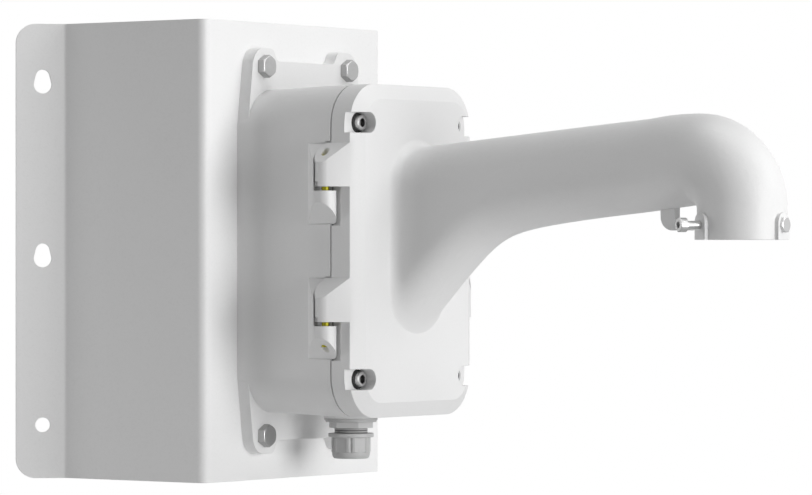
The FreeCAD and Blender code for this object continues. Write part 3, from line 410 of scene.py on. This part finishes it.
# %% The lid's bevel
LID_ACROSS, LID_UP, LID_ROUND = 40 * MM, 80.5 * MM, 27 * MM
SOLID_INSET, SOLID_DROP = 5.5 * MM, 9.75 * MM
BEVEL_INSET, BEVEL_DROP = 9.75 * MM, 5.5 * MM
LID_FRONT = 99.8 * MM
POCKET_UP = 88.95 * MM
LUG_UP = (-44.5 * MM, -16.5 * MM)
BOSS_UP, BOSS_DROP = 88.9 * MM, 5 * MM
NEAR = 0.02 * MM
OFF_BEVEL, OFF_BAND = 0.003, 0.01


def bevelled(points):
    """On the bevel a share s of the way in has inset = 9.75 s and drop = 5.5 (1 - s), in mm.

    The inset is counted from an outline of straight sides and round corners, so a point's
    reach past the corners' middles is the radius less the inset.
    """
    front = plate_front - LID_FRONT
    core = np.clip(points[:, [0, 2]], (-LID_ACROSS, -LID_UP), (LID_ACROSS, LID_UP))
    outward = points[:, [0, 2]] - core
    reach = np.maximum(np.linalg.norm(outward, axis=1), 1e-9)
    share = (LID_ROUND - reach) / SOLID_INSET
    drop = points[:, 1] - front
    in_band = (share > -OFF_BAND) & (share < 1 + OFF_BAND)
    on_bevel = in_band & (np.abs(share + drop / SOLID_DROP - 1) < OFF_BEVEL)
    # the screws' bosses stand a little out of the solid's bevel, and lie flush in this one
    on_bevel |= in_band & (np.abs(drop - BOSS_DROP) < NEAR) & (np.abs(points[:, 2]) > BOSS_UP)
    share = np.clip(share, 0, 1)
    new_reach = LID_ROUND - BEVEL_INSET * share
    moved = points.copy()
    moved[:, [0, 2]] = core + outward * (new_reach / reach)[:, None]
    moved[:, 1] = front + BEVEL_DROP * (1 - share)

    # a pocket's wall inside a corner stays level
    past_corner = np.abs(points[:, 2]) - LID_UP
    pocket = (np.abs(np.abs(points[:, 2]) - POCKET_UP) < NEAR) & (np.abs(points[:, 0]) > LID_ACROSS)
    level_x = LID_ACROSS + np.sqrt(np.maximum(new_reach ** 2 - past_corner ** 2, 0))
    moved[pocket, 0] = (np.sign(points[:, 0]) * level_x)[pocket]
    moved[pocket, 2] = points[pocket, 2]

    # the lug on the right begins at the rim
    lug = (points[:, 0] > 0) & (points[:, 2] > LUG_UP[0]) & (points[:, 2] < LUG_UP[1]) & (share < 0.5)
    moved[lug, 0] = LID_ACROSS + LID_ROUND
    moved[lug, 1] = front + BEVEL_DROP
    return np.where(on_bevel[:, None], moved, points)


def move_points(work, rule):
    """Send a mesh's points through a rule on an array of places, and count faces turned over."""
    work.normal_update()
    before = [face.normal.copy() for face in work.faces]
    places = rule(np.array([point.co for point in work.verts]))
    for point, place in zip(work.verts, places):
        point.co = place
    work.normal_update()
    over = sum(was.dot(face.normal) < 0 and face.calc_area() > 0.1 * MM ** 2
               for was, face in zip(before, work.faces))
    bmesh.ops.dissolve_degenerate(work, edges=work.edges, dist=0.005 * MM)
    print("faces that turned over:", over)


def smooth_copy(node):
    """A copy of a solid with merged points and smooth shading below the angle."""
    mesh = bpy.data.meshes.new(node + "_skin")
    work = bmesh.new()
    work.from_mesh(frame["nodes"][node].data)
    bmesh.ops.remove_doubles(work, verts=work.verts, dist=0.002 * MM)
    if node == "gland_body":
        bmesh.ops.rotate(work, verts=work.verts, cent=gland_axis,
                         matrix=Matrix.Rotation(GLAND_HEX_TURN, 3, "Z"))
    if node == "arm_lid":
        move_points(work, bevelled)
    mark_edges(work)
    work.to_mesh(mesh)
    work.free()
    mesh.materials.clear()
    mesh.materials.append(FINISHES[node])
    piece = bpy.data.objects.new(node + "_skin", mesh)
    bpy.context.scene.collection.objects.link(piece)
    weights = piece.modifiers.new("large faces rule", "WEIGHTED_NORMAL")
    weights.keep_sharp = True
    weights.weight = 100
    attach(piece, body_of[node])
    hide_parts(node)
    return piece


skins = {node: smooth_copy(node) for node in frame["nodes"] if node not in SHAPED}
print("skins:", len(skins), "with", sum(len(skin.data.polygons) for skin in skins.values()), "triangles")

# %% [markdown]
# ## A surface from a grid of points
# Most small parts are a profile carried round an axis. Numpy fills the grid of points in one
# go, and a row of faces joins each ring to the next. Both ways of the grid close on
# themselves, which gives a ring-shaped solid without any seam.

# %% Ring-shaped pieces
def ring_piece(name, grids, finish, body):
    """One mesh from grids of points, each (rings, points round, 3) and closed both ways."""
    points, faces = [], []
    for grid in grids:
        rings, around = grid.shape[:2]
        base = sum(len(part) for part in points)
        index = base + np.arange(rings * around).reshape(rings, around)
        ahead_of, beside = np.roll(index, -1, axis=0), np.roll(index, -1, axis=1)
        both = np.roll(ahead_of, -1, axis=1)
        faces.append(np.stack([index, beside, both, ahead_of], axis=-1).reshape(-1, 4))
        points.append(grid.reshape(-1, 3))
    mesh = bpy.data.meshes.new(name)
    mesh.from_pydata(np.concatenate(points).tolist(), [], np.concatenate(faces).tolist())
    work = bmesh.new()
    work.from_mesh(mesh)
    bmesh.ops.recalc_face_normals(work, faces=work.faces)
    mark_edges(work)
    work.to_mesh(mesh)
    work.free()
    mesh.materials.append(finish)
    piece = bpy.data.objects.new(name, mesh)
    bpy.context.scene.collection.objects.link(piece)
    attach(piece, body)
    print(name, "has", len(mesh.polygons), "faces")
    return piece


# %% [markdown]
# ## Dome nut and washer of the gland
# The nut is moulded. It has a plain collar, six flat panels sunk between ribs, a groove down
# the middle of each rib, and an end that rounds over to the mouth. Seen along its axis, a flat
# at distance f from the axis has the radius f / cos(t), where t counts from its middle.

# %% Turned shapes
NUT_TURN = math.radians(5.7)
NUT_BORE, NUT_MOUTH = 10.9 * MM, 6.5 * MM
NUT_COLLAR, NUT_GRIP, NUT_FLAT = 14.95 * MM, 13.4 * MM, 12.55 * MM
NUT_DOME, NUT_END = 12.5 * MM, 11.0 * MM
NUT_COLLAR_HIGH, NUT_GRIP_HIGH = 2.6 * MM, 9.9 * MM
PANEL_HALF = math.radians(17)
DOME_ANGLES = np.linspace(0.15, math.pi / 2, 7)
GROOVE_DEEP, GROOVE_WIDE = 1.0 * MM, 0.7 * MM
SOFT = 0.35 * MM
TURNS = np.linspace(0, 2 * math.pi, 360, endpoint=False)


def turned(node, rows, finish):
    """Carry rows of (drop below the node's top, radius) round the gland's axis, closed both ways."""
    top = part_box(node)[1].z
    whole = np.ones(len(TURNS))
    grid = np.array([np.stack([radius * np.cos(TURNS), gland_axis.y + radius * np.sin(TURNS),
                               (top - drop) * whole], axis=-1) for drop, radius in rows])
    piece = ring_piece(node + "_shape", [grid], finish, body_of[node])
    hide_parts(node)


def grip_radius():
    """r = flat / cos t on a panel and grip on a rib, less deep exp(-(grip s / wide)^2) at the
    groove, where s counts from the rib's middle."""
    sixth = math.pi / 3
    from_flat = (TURNS - NUT_TURN + sixth / 2) % sixth - sixth / 2
    from_rib = sixth / 2 - np.abs(from_flat)
    panel_or_rib = np.where(np.abs(from_flat) < PANEL_HALF, NUT_FLAT / np.cos(from_flat), NUT_GRIP)
    return panel_or_rib - GROOVE_DEEP * np.exp(-(NUT_GRIP * from_rib / GROOVE_WIDE) ** 2)


# %% Dome nut
def dome_nut():
    """Rows from the bore down the outside, over the end and back up inside."""
    low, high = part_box("gland_dome_nut")
    tall = high.z - low.z
    grip_end = NUT_COLLAR_HIGH + NUT_GRIP_HIGH
    grip = grip_radius()
    rows = [(0, NUT_BORE), (0, NUT_COLLAR - SOFT), (SOFT, NUT_COLLAR),
            (NUT_COLLAR_HIGH - SOFT, NUT_COLLAR), (NUT_COLLAR_HIGH, NUT_COLLAR - SOFT),
            (NUT_COLLAR_HIGH, grip + SOFT), (NUT_COLLAR_HIGH + SOFT, grip)]
    rows += [(NUT_COLLAR_HIGH + share * NUT_GRIP_HIGH, grip) for share in (0.3, 0.6, 0.97)]
    rows += [(grip_end, np.minimum(grip, NUT_DOME))]
    for angle in DOME_ANGLES:
        radius = NUT_END - SOFT + (NUT_DOME - NUT_END + SOFT) * math.cos(angle)
        rows.append((grip_end + (tall - grip_end) * math.sin(angle), radius))
    rows += [(tall, NUT_MOUTH + SOFT), (tall - SOFT, NUT_MOUTH),
             (tall - 1.5 * MM, NUT_MOUTH), (tall - 4.1 * MM, NUT_BORE)]
    turned("gland_dome_nut", rows, gland_nylon)


dome_nut()

# %% [markdown]
# The washer between the gland and the box is a turned ring with a small step on its rim.

# %% Gland washer
WASHER_BORE, WASHER_RIM, WASHER_STEP = 10.05 * MM, 17.5 * MM, 16.8 * MM


def gland_washer():
    """Rows over the top, down the rim with its step halfway, and back below to the bore."""
    low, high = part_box("gland_washer")
    tall = high.z - low.z
    rows = [(0, WASHER_BORE), (0, WASHER_RIM - SOFT), (SOFT, WASHER_RIM), (0.5 * tall, WASHER_RIM),
            (0.55 * tall, WASHER_STEP), (tall - SOFT, WASHER_STEP), (tall, WASHER_STEP - SOFT),
            (tall, WASHER_BORE)]
    turned("gland_washer", rows, gland_nylon)


gland_washer()

# %% [markdown]
# ## Seals of the lid screws
# Each screw head stands in a shallow counterbore inside a rubber sleeve, which keeps rain out
# of the hole. A sleeve is a tall torus: an oval b wide and h high, carried round a circle a.

# %% Screw seals
SEAL_RADIUS, SEAL_THICK, SEAL_TALL = 5.72 * MM, 0.7 * MM, 1.6 * MM
HEAD_TALL = 6 * MM


def torus(place, around=48, across=12):
    """x = (a + b cos v) cos u, z = (a + b cos v) sin u, y = h sin v, about the Y axis."""
    u, v = np.meshgrid(np.linspace(0, 2 * math.pi, around, endpoint=False),
                       np.linspace(0, 2 * math.pi, across, endpoint=False), indexing="ij")
    reach = SEAL_RADIUS + SEAL_THICK * np.cos(v)
    return np.stack([place[0] + reach * np.cos(u), place[1] + SEAL_TALL * np.sin(v),
                     place[2] + reach * np.sin(u)], axis=-1)


screw_across, screw_up = corner_of("lid_screws")
head_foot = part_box("lid_screws")[0].y + HEAD_TALL
seals = [torus((screw_across * x, head_foot - SEAL_TALL, screw_up * z))
         for x in (-1, 1) for z in (-1, 1)]
ring_piece("lid_screw_seals", seals, black_rubber, "lid")

# %% [markdown]
# ## Studio
# The photograph was lit by one broad lamp straight in front of the bracket, so the lid's face
# is the brightest and the walls to the left of it stay a stop darker. Three weaker lamps fill
# in from the upper right, from behind on the left and from above. The room itself is plain
# white where the camera or a reflection sees it, and nearly dark as a source of light.

# %% World
def studio_world(fill, tint):
    world = bpy.data.worlds.new("studio")
    bpy.context.scene.world = world
    world.use_nodes = True
    tree = world.node_tree
    tree.nodes.clear()
    path = tree.nodes.new("ShaderNodeLightPath")
    seen = tree.nodes.new("ShaderNodeMath")
    seen.operation = "MAXIMUM"
    tree.links.new(path.outputs["Is Camera Ray"], seen.inputs[0])
    tree.links.new(path.outputs["Is Transmission Ray"], seen.inputs[1])
    mirrored = tree.nodes.new("ShaderNodeMath")
    mirrored.operation = "MAXIMUM"
    tree.links.new(seen.outputs[0], mirrored.inputs[0])
    tree.links.new(path.outputs["Is Glossy Ray"], mirrored.inputs[1])
    light = tree.nodes.new("ShaderNodeBackground")
    light.inputs["Color"].default_value = tint
    light.inputs["Strength"].default_value = fill
    white = tree.nodes.new("ShaderNodeBackground")
    white.inputs["Color"].default_value = grey(1.0)
    white.inputs["Strength"].default_value = 1.0
    mix = tree.nodes.new("ShaderNodeMixShader")
    tree.links.new(mirrored.outputs[0], mix.inputs[0])
    tree.links.new(light.outputs[0], mix.inputs[1])
    tree.links.new(white.outputs[0], mix.inputs[2])
    out = tree.nodes.new("ShaderNodeOutputWorld")
    tree.links.new(mix.outputs[0], out.inputs["Surface"])
    return world


studio_world(0.03, grey(1.0))


# %% Lamps
def soft_lamp(name, turn, rise, distance, size, power):
    """A square area lamp that faces the bracket; its turn counts from the front to the left."""
    turn, rise = math.radians(turn), math.radians(rise)
    away = Vector((-math.sin(turn) * math.cos(rise), -math.cos(turn) * math.cos(rise), math.sin(rise)))
    data = bpy.data.lights.new(name, "AREA")
    data.shape = "SQUARE"
    data.size = size
    data.energy = power
    lamp = bpy.data.objects.new(name, data)
    lamp.location = centre + distance * away
    lamp.rotation_euler = away.to_track_quat("Z", "Y").to_euler()
    bpy.context.scene.collection.objects.link(lamp)
    return lamp


centre = (cad_low + cad_high) / 2
soft_lamp("main", 4, 0, 3.0, 1.6, 61)
soft_lamp("upper right", -30, 35, 3.0, 1.6, 20)
soft_lamp("rear left", 140, 5, 3.0, 1.6, 18)
soft_lamp("top", 20, 80, 2.6, 1.6, 27)

# %% [markdown]
# ## Floor
# The bracket hangs on a wall, so the floor is only a pale ground well below it. It fades out
# at its rim, so that no edge shows against the white room.

# %% Floor
FLOOR_UP = cad_low.z - 0.16
FLOOR_REACH = 1.6
FLOOR_AROUND = 96


def pale_floor():
    """A disc in polar coordinates: x = r cos t, y = r sin t, with the level constant."""
    turns = np.linspace(0, 2 * math.pi, FLOOR_AROUND, endpoint=False)
    points = np.zeros((FLOOR_AROUND + 1, 3))
    points[1:, 0] = FLOOR_REACH * np.cos(turns)
    points[1:, 1] = FLOOR_REACH * np.sin(turns)
    points += np.array([centre.x, centre.y, FLOOR_UP])
    faces = [(0, 1 + number, 1 + (number + 1) % FLOOR_AROUND) for number in range(FLOOR_AROUND)]
    mesh = bpy.data.meshes.new("floor")
    mesh.from_pydata(points.tolist(), [], faces)
    paint = Finish("floor")
    x, y, _ = paint.axes(paint.place())
    radius = ((x - centre.x) ** 2.0 + (y - centre.y) ** 2.0) ** 0.5
    fade = paint.node("MapRange", {"Value": radius, "From Min": 0.6 * FLOOR_REACH,
                                   "From Max": 0.98 * FLOOR_REACH, "To Min": 1.0, "To Max": 0.0},
                      interpolation_type="SMOOTHSTEP")
    mottle = paint.noise(paint.place(), 30 * MM)
    colour = paint.blend(mottle, grey(0.86), grey(0.9))
    mesh.materials.append(paint.surface(Base_Color=colour, Roughness=0.8, Alpha=fade))
    floor = bpy.data.objects.new("floor", mesh)
    bpy.context.scene.collection.objects.link(floor)
    return floor


pale_floor()
print("floor at z =", round(FLOOR_UP / MM), "mm")
